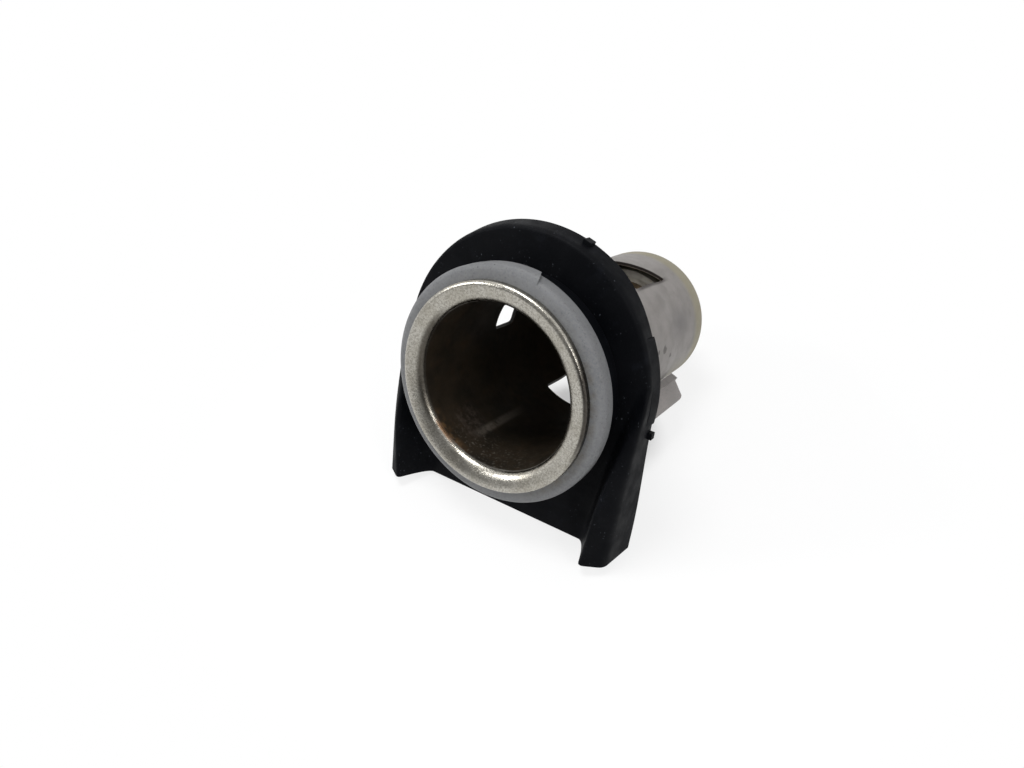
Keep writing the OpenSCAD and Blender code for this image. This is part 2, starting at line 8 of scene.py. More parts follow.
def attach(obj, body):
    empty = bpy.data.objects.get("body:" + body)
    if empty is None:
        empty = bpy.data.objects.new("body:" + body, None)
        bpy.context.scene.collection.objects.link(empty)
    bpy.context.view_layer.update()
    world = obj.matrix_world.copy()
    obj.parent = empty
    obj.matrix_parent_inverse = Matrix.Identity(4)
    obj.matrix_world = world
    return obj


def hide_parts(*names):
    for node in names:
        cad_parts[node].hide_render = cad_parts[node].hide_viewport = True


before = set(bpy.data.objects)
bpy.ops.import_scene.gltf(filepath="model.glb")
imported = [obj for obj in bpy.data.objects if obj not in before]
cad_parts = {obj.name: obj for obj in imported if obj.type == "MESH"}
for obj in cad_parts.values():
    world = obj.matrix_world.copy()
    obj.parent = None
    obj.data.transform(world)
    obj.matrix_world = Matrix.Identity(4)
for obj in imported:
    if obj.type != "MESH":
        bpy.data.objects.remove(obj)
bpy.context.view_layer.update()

MM = 0.001

# Sizes in millimetres and angles in degrees, mostly as in the part's source.
# Barrel with its rolled rim and its two pairs of windows
BORE_R = 10.5
SHEET = 0.5
BARREL_R = BORE_R + SHEET
BARREL_END = 43.0
CORNER_R = 2.0
NECK_START = 0.64 * BARREL_END
NECK_END = NECK_START + 5.0
NECK_STEP = 0.4
RIM_R = BORE_R + 2.6
RIM_RISE = 1.4
RIM_ROLL = 0.6
RIM_LIP_IN = 0.15
RIM_LIP_DROP = 0.3
FLOOR_HOLE_R = 3.6
GRIP_ANGLE = 78.0
GRIP_W = 7.6
GRIP_FRONT = 0.549 * BARREL_END
GRIP_REAR = 0.793 * BARREL_END
GRIP_SLANT = 4.0
GRIP_CORNER_R = 0.6
CATCH_ANGLE = 158.0
CATCH_W = 6.2
CATCH_FRONT = 0.349 * BARREL_END
CATCH_L = 4.5
CATCH_CORNER_R = 0.75
CUT_FROM_R = 9.0
CUT_TO_R = 12.0
ROUND_STEPS = 256

# Light ring with its sleeve, tooth, latch arms, fins and catch tongues
RING_R = RIM_R + 1.7
RING_SEAT = 1.8
RING_FRONT = RING_SEAT - 2.2
RING_ROUND = 0.7
SLEEVE_BORE_R = BARREL_R + 0.1
SLEEVE_R = SLEEVE_BORE_R + 1.1
SLEEVE_END = 0.34 * BARREL_END
TOOTH_FROM = 72.5
TOOTH_TO = 110.0
TOOTH_H = 0.45
TOOTH_LEAN = 1.8
TONGUE_W = 1.6
TONGUE_TIP_R = BORE_R + 0.06
PLAY = 0.15
ARM_END = 0.756 * BARREL_END
ARM_ANGLE = -31.5
ARM_HALF = 9.0
FIN_ANGLE = -30.5
FIN_R = SLEEVE_R + 2.5
FIN_FRONT = 0.62 * ARM_END
FIN_REAR = ARM_END - 0.5

# Trim bezel: arch, feet, forward ears, hollow back and collar
ARCH_R = RING_R + 2.85
ARCH_Z = 0.9
FOOT_HALF = ARCH_R - 0.55
FOOT_DROP = ARCH_R + 0.95
FACE_Y = 4.9
FACE_WALL = 1.6
BEZEL_REAR = FACE_Y + 2.7
MARK_REAR = BEZEL_REAR - 0.02       # coplanar rear faces would upset the unions
SIDE_WALL = 1.5
SIDE_FLARE = 0.45
EAR_REACH = 4.9
EAR_W = 5.3
EAR_TOP = 3.6
EAR_ROOF = 1.75
COLLAR_BORE_R = SLEEVE_R + 0.2
COLLAR_R = COLLAR_BORE_R + 1.5
COLLAR_REAR = BEZEL_REAR + 1.2
RIB_W = 1.2
RIB_ANGLES = (45, 90, 135, 185, 355)
PAD_L = 2.0
PAD_SPANS = ((-6.0, 28.0), (152.0, 186.0))

# The floor touches the bezel's feet and the far end of the barrel
FLOOR_TILT = math.radians(13.38)


def mesh_object(name, verts, faces):
    """Mesh object from points in millimetres."""
    mesh = bpy.data.meshes.new(name)
    mesh.from_pydata([(x * MM, y * MM, z * MM) for x, y, z in verts], [], faces)
    mesh.validate()
    obj = bpy.data.objects.new(name, mesh)
    bpy.context.scene.collection.objects.link(obj)
    return obj


def fix_normals(obj):
    """Turns every face outwards."""
    bm = bmesh.new()
    bm.from_mesh(obj.data)
    bmesh.ops.recalc_face_normals(bm, faces=bm.faces)
    bm.to_mesh(obj.data)
    bm.free()
    return obj


def on_angle(r, angle, y):
    """Point at a radius and an angle round the axis of the bore."""
    a = math.radians(angle)
    return (r * math.cos(a), y, r * math.sin(a))


def side_faces(rows, points, closed):
    """Quads between rows of points; closed also joins the last row to the first."""
    faces = []
    for i in range(rows if closed else rows - 1):
        n = (i + 1) % rows
        for j in range(points):
            k = (j + 1) % points
            faces.append((i * points + j, i * points + k, n * points + k, n * points + j))
    return faces


def revolve(name, profile, steps=192):
    """Ring body from a closed (radius, depth) profile."""
    verts = [on_angle(r, 360.0 * i / steps, y) for i in range(steps) for r, y in profile]
    return fix_normals(mesh_object(name, verts, side_faces(steps, len(profile), True)))


def loft(name, rows):
    """Closed sections through a row of stations, capped at both ends."""
    m = len(rows[0])
    n = len(rows)
    faces = side_faces(n, m, False)
    faces.append(tuple(range(m)))
    faces.append(tuple(range((n - 1) * m, n * m)))
    return fix_normals(mesh_object(name, [p for row in rows for p in row], faces))


def prism(name, outline, y0, y1):
    """Straight body along the bore from an (x, z) outline."""
    return loft(name, [[(x, y, z) for x, z in outline] for y in (y0, y1)])


def radial_block(name, angle, shape, r0, r1):
    """Block pushed outwards at an angle from a (width, depth) shape."""
    a = math.radians(angle)
    out = Vector((math.cos(a), 0.0, math.sin(a)))
    side = Vector((-math.sin(a), 0.0, math.cos(a)))
    rows = []
    for r in (r0, r1):
        spots = [out * r + side * t for t, _ in shape]
        rows.append([(p.x, y, p.z) for p, (_, y) in zip(spots, shape)])
    return loft(name, rows)


def oblong(half_w, y0, y1):
    """Outline of a block for radial_block."""
    return [(-half_w, y0), (half_w, y0), (half_w, y1), (-half_w, y1)]


def combine(obj, other, operation):
    """Boolean of obj with other; other is removed."""
    mod = obj.modifiers.new("combine", "BOOLEAN")
    mod.operation = operation
    mod.solver = "EXACT"
    mod.object = other
    deps = bpy.context.evaluated_depsgraph_get()
    deps.update()
    result = bpy.data.meshes.new_from_object(obj.evaluated_get(deps))
    obj.modifiers.remove(mod)
    old = obj.data
    obj.data = result
    bpy.data.meshes.remove(old)
    bpy.data.objects.remove(other)
    return obj


def smooth(obj, angle):
    """Smooth shading with sharp edges over the given angle."""
    mesh = obj.data
    for poly in mesh.polygons:
        poly.use_smooth = True
    bm = bmesh.new()
    bm.from_mesh(mesh)
    limit = math.radians(angle)
    for edge in bm.edges:
        sharp = len(edge.link_faces) != 2 or edge.calc_face_angle(0.0) > limit
        edge.smooth = not sharp
    bm.to_mesh(mesh)
    bm.free()
    return obj


def mix(a, b, s):
    """Value at the share s of the way from a to b."""
    return a + (b - a) * s


def clamp(s):
    return max(0.0, min(1.0, s))


def ease(s):
    """Share that starts and ends softly."""
    return s * s * (3 - 2 * s)


def quad(a, b, c, s):
    """Point on the curve from a to c that bends towards b."""
    return a.lerp(b, s).lerp(b.lerp(c, s), s)


def toward(a, b, d):
    """Point at the distance d from a on the way to b, at most near the middle."""
    return a + (b - a) * min(d / (b - a).length, 0.45)


def arc(centre, rx, ry, a0, a1, steps):
    """Points on a part of an ellipse."""
    points = []
    for i in range(steps + 1):
        a = math.radians(mix(a0, a1, i / steps))
        points.append((centre[0] + rx * math.cos(a), centre[1] + ry * math.sin(a)))
    return points


def rounded(points, radius, steps=6):
    """Rounds the corners of a closed outline."""
    out = []
    for i, point in enumerate(points):
        p = Vector(point)
        a = Vector(points[i - 1])
        b = Vector(points[(i + 1) % len(points)])
        start = p + (a - p).normalized() * radius
        end = p + (b - p).normalized() * radius
        out += [quad(start, p, end, s / steps).to_tuple() for s in range(steps + 1)]
    return out


def rim_skin(inset, steps):
    """Rolled rim from the bore over its crown to the folded edge."""
    start = Vector((BORE_R + inset, 0.0))
    lip = Vector((BORE_R + RIM_LIP_IN + inset, inset - RIM_RISE + RIM_LIP_DROP))
    crown = Vector((RIM_R - RIM_ROLL, inset - RIM_RISE))
    fold_end = RING_FRONT - 0.02
    fold_h = (fold_end - crown.y) / 2
    points = [quad(start, lip, crown, i / steps).to_tuple() for i in range(steps)]
    points += arc((crown.x, crown.y + fold_h), RIM_ROLL - inset, fold_h, 270, 360, steps)
    points.append((RIM_R - inset, fold_end))
    return points


def neck(front_r, steps=8):
    """Soft step from the straight barrel to its narrower tail."""
    points = []
    for i in range(steps + 1):
        s = i / steps
        points.append((front_r - NECK_STEP * ease(s), mix(NECK_START, NECK_END, s)))
    return points


def barrel_profile():
    """Section of the drawn sheet: tail, bore, rolled rim and outside."""
    tail_in = BORE_R - NECK_STEP
    tail_out = BARREL_R - NECK_STEP
    inner_r = CORNER_R - SHEET
    corner_y = BARREL_END - CORNER_R
    inside = [(FLOOR_HOLE_R, BARREL_END - SHEET)]
    inside += arc((tail_in - inner_r, corner_y), inner_r, inner_r, 90, 0, 10)
    inside += neck(BORE_R)[::-1]
    outside = neck(BARREL_R)
    outside += arc((tail_out - CORNER_R, corner_y), CORNER_R, CORNER_R, 0, 90, 12)
    outside.append((FLOOR_HOLE_R, BARREL_END))
    return inside + rim_skin(0.0, 16) + rim_skin(SHEET, 16)[::-1] + outside


def make_barrel():
    """Cup with two grip windows and two catch windows."""
    obj = revolve("barrel", barrel_profile(), ROUND_STEPS)
    half = GRIP_W / 2
    grip = rounded([(half, GRIP_FRONT), (-half, GRIP_FRONT), (-half, GRIP_REAR),
                    (half, GRIP_REAR - GRIP_SLANT)], GRIP_CORNER_R)
    catch = rounded(oblong(CATCH_W / 2, CATCH_FRONT, CATCH_FRONT + CATCH_L), CATCH_CORNER_R)
    for turn in (0.0, 180.0):
        for angle, shape in ((GRIP_ANGLE, grip), (CATCH_ANGLE, catch)):
            cut = radial_block("cut", angle + turn, shape, CUT_FROM_R, CUT_TO_R)
            combine(obj, cut, "DIFFERENCE")
    return smooth(obj, 35)


def ring_profile():
    """Section of the ring with its rounded edge and its sleeve."""
    edge_r = 0.15
    points = [(SLEEVE_BORE_R + 0.35, RING_FRONT)]
    points += arc((RING_R - RING_ROUND, RING_FRONT + RING_ROUND), RING_ROUND, RING_ROUND,
                  270, 360, 10)
    points += arc((RING_R - edge_r, RING_SEAT - edge_r), edge_r, edge_r, 0, 90, 3)
    points += [(SLEEVE_R, RING_SEAT), (SLEEVE_R, SLEEVE_END), (SLEEVE_BORE_R, SLEEVE_END),
               (SLEEVE_BORE_R, 0.6)]
    return points


def make_ring():
    """Ring with its tooth, and two arms, fins and tongues on the sleeve."""
    obj = revolve("light_ring_body", ring_profile(), ROUND_STEPS)
    combine(obj, make_tooth(), "UNION")
    for turn in (0.0, 180.0):
        combine(obj, make_arm(turn), "UNION")
        combine(obj, make_fin(turn), "UNION")
        combine(obj, make_tongue(turn), "UNION")
    return smooth(obj, 35)


def make_tooth():
    """Swelling of the ring's rounded edge that grows to a step."""
    steps = 30
    root = RING_R - 0.6
    corner_y = RING_FRONT + RING_ROUND
    rows = []
    for i in range(steps + 1):
        s = i / steps
        top = RING_R - 0.05 + (TOOTH_H + 0.05) * s
        section = arc((root, corner_y), top - root, RING_ROUND - 0.03, 270, 360, 8)
        section += [(top, RING_SEAT - 0.3), (root, RING_SEAT - 0.3)]
        angle = mix(TOOTH_TO, TOOTH_FROM, s)
        undercut = TOOTH_LEAN * s
        rows.append([on_angle(r, angle + undercut * (y - RING_FRONT), y) for r, y in section])
    return loft("tooth", rows)


def shell_sector(name, r0, r1, a0, a1, y0, y1, steps=24):
    """Part of a tube between two angles."""
    angles = [mix(a0, a1, i / steps) for i in range(steps + 1)]
    outer = [on_angle(r1, a, 0.0) for a in angles]
    inner = [on_angle(r0, a, 0.0) for a in reversed(angles)]
    return prism(name, [(p[0], p[2]) for p in outer + inner], y0, y1)


def make_arm(turn):
    """Latch arm that runs on from the sleeve."""
    middle = turn + ARM_ANGLE
    return shell_sector("arm", SLEEVE_BORE_R, SLEEVE_R, middle - ARM_HALF, middle + ARM_HALF,
                        SLEEVE_END - 0.5, ARM_END)


def make_fin(turn):
    """Fin on an arm, thin at its crest and thick at its root."""
    a = math.radians(FIN_ANGLE + turn)
    out = Vector((math.cos(a), 0.0, math.sin(a)))
    side = Vector((-math.sin(a), 0.0, math.cos(a)))
    root = SLEEVE_R - 0.5
    section = [(root, -1.6), (FIN_R - 0.3, -0.48), (FIN_R - 0.07, -0.3), (FIN_R, 0.0),
               (FIN_R - 0.07, 0.3), (FIN_R - 0.3, 0.48), (root, 1.6)]
    caps = [(FIN_FRONT, SLEEVE_R), (FIN_FRONT + 1.75, FIN_R), (FIN_REAR - 0.5, FIN_R),
            (FIN_REAR - 0.12, FIN_R - 0.22), (FIN_REAR, FIN_R - 0.6)]
    rows = []
    for y, cap in caps:
        spots = [out * min(r, cap + 0.01 * abs(t)) + side * t for r, t in section]
        rows.append([(p.x, y, p.z) for p in spots])
    return loft("fin", rows)


def make_tongue(turn):
    """Tongue inside an arm that catches in one side of the barrel's window."""
    left = -CATCH_W / 2
    y0 = CATCH_FRONT + PLAY
    y1 = CATCH_FRONT + CATCH_L - PLAY
    shape = [(left + PLAY, y0), (left + TONGUE_W, y0), (left + TONGUE_W, y1), (left + PLAY, y1)]
    root_r = (SLEEVE_BORE_R + SLEEVE_R) / 2
    block = radial_block("tongue", CATCH_ANGLE + turn, shape, CUT_FROM_R + 0.5, root_r)
    keep_front = y0 - 1.0
    keep_rear = y1 + 1.0
    keep = revolve("keep", [(TONGUE_TIP_R, keep_front), (CUT_TO_R, keep_front),
                            (CUT_TO_R, keep_rear), (TONGUE_TIP_R, keep_rear)], ROUND_STEPS)
    return combine(block, keep, "INTERSECT")


def ear_share(z):
    """Share of the ear's growth at a height: none above it, one at the foot."""
    return clamp((EAR_TOP - z) / (EAR_TOP + FOOT_DROP))


def side_station(z, side):
    """Place, inward direction, ear share and waist share on a side wall."""
    x = mix(ARCH_R, FOOT_HALF, (ARCH_Z - z) / (ARCH_Z + FOOT_DROP))
    waist = 1 - ease(clamp((ARCH_Z - z) / (ARCH_Z + 16.0)))
    return (side * x, z, -side, 0.0, ear_share(z), waist)


def arch_station(angle):
    """The same for a place on the arch."""
    a = math.radians(angle)
    z = ARCH_Z + ARCH_R * math.sin(a)
    low = min(angle, 180.0 - angle)
    waist = 1 - ease(clamp((low - 22.0) / 34.0))
    return (ARCH_R * math.cos(a), z, -math.cos(a), -math.sin(a), ear_share(z), waist)


def bezel_stations(foot_z, sides, arch):
    """Stations from the left foot over the arch to the right foot."""
    left = [side_station(mix(foot_z, ARCH_Z, i / sides), -1) for i in range(sides)]
    top = [arch_station(180.0 - 180.0 * i / arch) for i in range(arch + 1)]
    right = [side_station(mix(ARCH_Z, foot_z, i / sides), 1) for i in range(1, sides + 1)]
    return left + top + right


def crest_in(e):
    """How far inward the ear's crest lies."""
    return 1.0 + 1.7 * e


def valley_in(e):
    """How far inward the ear's slope meets the face."""
    return 1.45 + (EAR_W - 1.45) * e ** 0.75


def land_y(e):
    """Depth of the outer edge of the ear's land."""
    return FACE_Y - (EAR_REACH - EAR_ROOF) * e ** 0.43


def crest_y(e):
    """Depth of the ear's crest."""
    return FACE_Y - EAR_REACH * math.sin(math.radians(90.0) * clamp(e / 0.72) ** 1.4)


def flare_out(w):
    """How far the rear edge stands out, less at the waist."""
    return SIDE_FLARE * (1 - 1.5 * w)


def skin_section(e, w, steps):
    """Outer section of the bezel's edge as (inward, depth) points."""
    rear = Vector((-flare_out(w), BEZEL_REAR))
    land = Vector((0.0, land_y(e)))
    crest = Vector((crest_in(e), crest_y(e)))
    valley = Vector((valley_in(e), FACE_Y))
    foot = valley.lerp(Vector((crest_in(e), FACE_Y)), 0.35)
    land_a = toward(land, rear, 0.9)
    land_b = toward(land, crest, 0.7)
    crest_a = toward(crest, land, 0.8)
    crest_b = toward(crest, foot, 0.8)
    points = [rear, rear.lerp(land_a, 0.5)]
    points += [quad(land_a, land, land_b, i / steps) for i in range(steps + 1)]
    points += [quad(crest_a, crest, crest_b, i / steps) for i in range(steps + 1)]
    slope = 2 * steps
    points += [quad(crest_b, foot, valley, i / slope) for i in range(1, slope + 1)]
    back = valley_in(e) + 0.8
    return points + [Vector((back, FACE_Y)), Vector((back, BEZEL_REAR))]


def pocket_section(e, w):
    """Section of the hollow behind the bezel's edge."""
    crest = max(crest_in(e), SIDE_WALL + 0.3)
    slope = max(mix(crest_in(e), valley_in(e), 0.45), SIDE_WALL + 0.6)
    inner = max(valley_in(e) + 0.8, SIDE_WALL + 0.9)
    rear = BEZEL_REAR + 0.5
    return [Vector((SIDE_WALL - flare_out(w), rear)),
            Vector((SIDE_WALL, land_y(e) + FACE_WALL)),
            Vector((crest, crest_y(e) + FACE_WALL)),
            Vector((slope, FACE_Y + FACE_WALL)),
            Vector((inner, FACE_Y + FACE_WALL)),
            Vector((inner, rear))]


def place(st, p):
    """Point of a section, set on a station."""
    return (st[0] + st[2] * p.x, p.y, st[1] + st[3] * p.x)


def core_outline(stations, extra):
    """Outline of the flat face inside the edge."""
    spots = [place(st, Vector((valley_in(st[4]) + extra, 0.0))) for st in stations]
    return [(x, z) for x, _, z in spots]


def make_bezel():
    """Hollow arched moulding with ribs, nubs, pads and a collar."""
    outer = bezel_stations(-FOOT_DROP, 40, 96)
    obj = loft("bezel", [[place(s, p) for p in skin_section(s[4], s[5], 6)] for s in outer])
    core = prism("core", core_outline(outer, 0.4), FACE_Y, BEZEL_REAR)
    combine(obj, core, "UNION")
    inner = bezel_stations(SIDE_WALL - FOOT_DROP, 24, 48)
    pocket = loft("pocket", [[place(s, p) for p in pocket_section(s[4], s[5])] for s in inner])
    combine(obj, pocket, "DIFFERENCE")
    core = prism("core", core_outline(inner, 0.6), FACE_Y + FACE_WALL, BEZEL_REAR + 0.5)
    combine(obj, core, "DIFFERENCE")
    add_ribs(obj)
    add_edge_marks(obj)
    add_collar(obj)
    return smooth(obj, 32)


def box_at(name, angle, r0, r1, y0, y1, width, centre_z=0.0):
    """Straight rib or nub that points outwards at an angle."""
    obj = radial_block(name, angle, oblong(width / 2, y0, y1), r0, r1)
    obj.data.transform(Matrix.Translation((0.0, 0.0, centre_z * MM)))
    return obj


def add_ribs(obj):
    """Ribs behind the face, from the collar to the wall."""
    front = FACE_Y + FACE_WALL - 0.5
    rear = BEZEL_REAR - 0.5
    root = COLLAR_R - 0.5
    reaches = [(angle, ARCH_R - SIDE_WALL / 2) for angle in RIB_ANGLES]
    reaches.append((-90, FOOT_DROP - SIDE_WALL / 2))
    for angle, reach in reaches:
        combine(obj, box_at("rib", angle, root, reach, front, rear, RIB_W), "UNION")


def make_pad(root, a0, a1):
    """Low pad on the side wall that rises towards the rear edge."""
    steps = 24
    top = ARCH_R - SIDE_FLARE / 2 + 0.28
    rows = []
    for i in range(steps + 1):
        angle = mix(a0, a1, i / steps)
        section = [(root, MARK_REAR - PAD_L), (ARCH_R - 0.08, MARK_REAR - PAD_L),
                   (top, MARK_REAR - 0.5), (top, MARK_REAR), (root, MARK_REAR)]
        rows.append([on_angle(r, angle, y) for r, y in section])
    pad = loft("pad", rows)
    pad.data.transform(Matrix.Translation((0.0, 0.0, ARCH_Z * MM)))
    return pad


def add_edge_marks(obj):
    """Two nubs on one side and a raised pad on both sides of the rear edge."""
    root = ARCH_R - SIDE_WALL / 2
    front = BEZEL_REAR - 1.3
    top = ARCH_R + SIDE_FLARE + 0.3
    combine(obj, box_at("nub", 70, root, top, front, MARK_REAR, 1.0, ARCH_Z), "UNION")
    combine(obj, box_at("nub", 0, root, ARCH_R + 0.3, front + 0.4, MARK_REAR, 0.8, -2.4), "UNION")
    for a0, a1 in PAD_SPANS:
        combine(obj, make_pad(root, a0, a1), "UNION")


def add_collar(obj):
    """Collar round the sleeve, with the opening through the face."""
    inner_r = BARREL_R
    collar = revolve("collar", [(inner_r, RING_SEAT), (COLLAR_R, RING_SEAT),
                                (COLLAR_R, COLLAR_REAR), (inner_r, COLLAR_REAR)])
    combine(obj, collar, "UNION")
    hole_front = RING_SEAT - 0.8
    hole_rear = COLLAR_REAR + 3.2
    wide = revolve("hole", [(5.0, hole_front), (COLLAR_BORE_R, hole_front),
                            (COLLAR_BORE_R, hole_rear), (5.0, hole_rear)])
    combine(obj, wide, "DIFFERENCE")
    core_front = hole_front - 0.1
    core_rear = hole_rear + 0.1
    core = revolve("hole", [(0.01, core_front), (6.0, core_front),
                            (6.0, core_rear), (0.01, core_rear)], 48)
    combine(obj, core, "DIFFERENCE")


def rgb(r, g, b):
    """Colour from 8-bit display values."""
    def linear(v):
        v /= 255.0
        return v / 12.92 if v <= 0.04045 else ((v + 0.055) / 1.055) ** 2.4
    return (linear(r), linear(g), linear(b), 1.0)


class Nodes:
    """Small helper that builds one node material."""

    def __init__(self, name):
        self.mat = bpy.data.materials.new(name)
        self.mat.use_nodes = True
        self.tree = self.mat.node_tree
        self.tree.nodes.clear()
        self.out = self.new("ShaderNodeOutputMaterial")
        self.coords = self.new("ShaderNodeTexCoord").outputs["Object"]

    def new(self, kind, **settings):
        """New node with some of its settings."""
        node = self.tree.nodes.new(kind)
        for key, value in settings.items():
            setattr(node, key, value)
        return node

    def put(self, socket, value):
        """Links an output to a socket, or sets the socket's own value."""
        if isinstance(value, bpy.types.NodeSocket):
            self.tree.links.new(value, socket)
        else:
            socket.default_value = value

    def noise(self, scale, detail=3.0, rough=0.55):
        node = self.new("ShaderNodeTexNoise")
        self.put(node.inputs["Vector"], self.coords)
        self.put(node.inputs["Scale"], scale)
        self.put(node.inputs["Detail"], detail)
        self.put(node.inputs["Roughness"], rough)
        return node.outputs["Fac"]

    def ramp(self, fac, lo, hi, a=0.0, b=1.0):
        """Soft change from a to b while fac goes from lo to hi."""
        node = self.new("ShaderNodeMapRange", interpolation_type="SMOOTHSTEP")
        self.put(node.inputs["Value"], fac)
        self.put(node.inputs["From Min"], lo)
        self.put(node.inputs["From Max"], hi)
        self.put(node.inputs["To Min"], a)
        self.put(node.inputs["To Max"], b)
        return node.outputs["Result"]

    def math(self, operation, a, b=0.0):
        node = self.new("ShaderNodeMath", operation=operation)
        self.put(node.inputs[0], a)
        self.put(node.inputs[1], b)
        return node.outputs[0]

    def times(self, *factors):
        result = factors[0]
        for factor in factors[1:]:
            result = self.math("MULTIPLY", result, factor)
        return result

    def mix(self, fac, a, b):
        node = self.new("ShaderNodeMix", data_type="RGBA")
        self.put(node.inputs["Factor"], fac)
        self.put(node.inputs["A"], a)
        self.put(node.inputs["B"], b)
        return node.outputs["Result"]

    def xyz(self):
        node = self.new("ShaderNodeSeparateXYZ")
        self.put(node.inputs[0], self.coords)
        return node.outputs["X"], node.outputs["Y"], node.outputs["Z"]

    def polar(self):
        """Radius from the axis of the bore, and the angle from +X in radians."""
        x, _, z = self.xyz()
        square = self.math("ADD", self.times(x, x), self.times(z, z))
        return self.math("SQRT", square), self.math("ARCTAN2", z, x)

    def near(self, value, centre, inner, outer):
        """One where value is within inner of centre, none beyond outer."""
        gap = self.math("ABSOLUTE", self.math("SUBTRACT", value, centre))
        return self.ramp(gap, outer, inner)

    def spot(self, angle, y, at_angle, at_y, radius):
        """Round mark on the barrel at an angle in degrees and a depth in metres."""
        turn = self.math("SUBTRACT", angle, math.radians(at_angle))
        across = self.times(turn, BARREL_R * MM)
        along = self.math("SUBTRACT", y, at_y)
        square = self.math("ADD", self.times(across, across), self.times(along, along))
        reach = self.math("ADD", self.math("SQRT", square),
                          self.ramp(self.noise(1500, 2), 0.3, 0.7, -0.3 * radius, 0.3 * radius))
        return self.ramp(reach, radius, 0.5 * radius)

    def bump(self, height, strength, distance, normal=None):
        node = self.new("ShaderNodeBump")
        self.put(node.inputs["Height"], height)
        self.put(node.inputs["Strength"], strength)
        self.put(node.inputs["Distance"], distance)
        if normal is not None:
            self.put(node.inputs["Normal"], normal)
        return node.outputs["Normal"]

    def principled(self, **values):
        """Ends the material with a surface shader and returns it."""
        node = self.new("ShaderNodeBsdfPrincipled")
        for key, value in values.items():
            self.put(node.inputs[key.replace("_", " ")], value)
        self.tree.links.new(node.outputs[0], self.out.inputs["Surface"])
        return self.mat


def black_plastic():
    """Black moulding with faint dust and a worn film."""
    m = Nodes("black_moulding")
    cloud = m.ramp(m.noise(140, 4, 0.6), 0.35, 0.7)
    base = m.mix(cloud, rgb(6, 7, 10), rgb(11, 12, 15))
    patch = m.ramp(m.noise(230, 3, 0.6), 0.46, 0.66)
    speck = m.times(m.ramp(m.noise(3100, 2, 0.5), 0.66, 0.76), patch, 0.45)
    color = m.mix(speck, base, rgb(104, 108, 116))
    film = m.ramp(m.noise(520, 4, 0.65), 0.52, 0.8, 0.0, 0.07)
    color = m.mix(film, color, rgb(58, 62, 74))
    normal = m.bump(m.noise(3200, 3, 0.6), 0.3, 0.00005)
    normal = m.bump(m.noise(700, 2, 0.5), 0.15, 0.00006, normal)
    rough = m.ramp(m.noise(420, 3, 0.6), 0.3, 0.7, 0.5, 0.68)
    return m.principled(Base_Color=color, Roughness=rough, Normal=normal, IOR=1.4,
                        Specular_IOR_Level=0.08)


def grey_plastic():
    """Milky grey moulding, with painted shade towards its lower side, a darker, browner band by the
    rim on its right, and warmer on the sleeve.
    """
    m = Nodes("grey_moulding")
    _, y, z = m.xyz()
    cloud = m.ramp(m.noise(200, 4, 0.6), 0.35, 0.7)
    base = m.mix(cloud, rgb(104, 105, 107), rgb(112, 113, 115))
    # Painted shade: the lower side of the ring and sleeve is darkened a little towards a dull grey.
    base = m.mix(m.ramp(z, 0.004, -0.012, 0.0, 0.15), base, rgb(92, 90, 86))
    radius, angle = m.polar()
    # A darker, browner band on the ring just outside the rim on its right side, broken up by noise.
    rim_side = m.times(m.ramp(radius, 0.0142, 0.0134), m.near(angle, -0.2, 0.5, 1.1))
    base = m.mix(m.times(rim_side, m.ramp(m.noise(800, 3), 0.35, 0.65), 0.6), base, rgb(92, 86, 74))
    rear = m.ramp(y, 0.010, 0.016)
    base = m.mix(rear, base, m.mix(cloud, rgb(130, 125, 122), rgb(140, 134, 131)))
    stain = m.ramp(m.noise(900, 4, 0.65), 0.55, 0.78, 0.0, 0.35)
    color = m.mix(stain, base, rgb(80, 78, 74))
    grain = m.ramp(m.noise(3600, 3, 0.75), 0.4, 0.62, 0.0, 0.4)
    color = m.mix(grain, color, rgb(124, 124, 123))
    pits = m.ramp(m.noise(3000, 2, 0.7), 0.4, 0.32, 0.0, 0.5)
    color = m.mix(pits, color, rgb(82, 81, 80))
    dirt = m.times(m.ramp(m.noise(2600, 1, 0.5), 0.28, 0.22), m.near(angle, 1.75, 0.25, 0.6))
    color = m.mix(m.times(dirt, 0.8), color, rgb(34, 32, 30))
    normal = m.bump(m.noise(2200, 3, 0.6), 0.25, 0.00005)
    rough = m.ramp(m.noise(500, 3, 0.6), 0.3, 0.7, 0.48, 0.6)
    return m.principled(Base_Color=color, Roughness=rough, Normal=normal, IOR=1.46,
                        Specular_IOR_Level=0.2, Subsurface_Weight=0.1,
                        Subsurface_Radius=(0.8, 0.8, 0.8), Subsurface_Scale=0.0005)


def sheet_masks(m):
    """Masks of the barrel: inside of the bore, cut edges of the windows (which get painted shade),
    outside.
    """
    _, y, _ = m.xyz()
    radius, angle = m.polar()
    step = m.ramp(y, NECK_START * MM, NECK_END * MM, 0.0, NECK_STEP * MM)
    into = m.math("SUBTRACT", m.math("ADD", radius, step), BORE_R * MM)
    inside = m.times(m.ramp(into, 0.00012, 0.00005), m.ramp(y, -0.0004, 0.0001),
                     m.ramp(y, 0.0428, 0.0427))
    edge = m.times(m.ramp(into, 0.00003, 0.00008), m.ramp(into, 0.00047, 0.00042),
                   m.ramp(y, 0.010, 0.012), m.ramp(y, 0.039, 0.038))
    outside = m.times(m.ramp(y, 0.008, 0.012), m.math("SUBTRACT", 1.0, inside))
    return inside, edge, outside, y, radius, angle


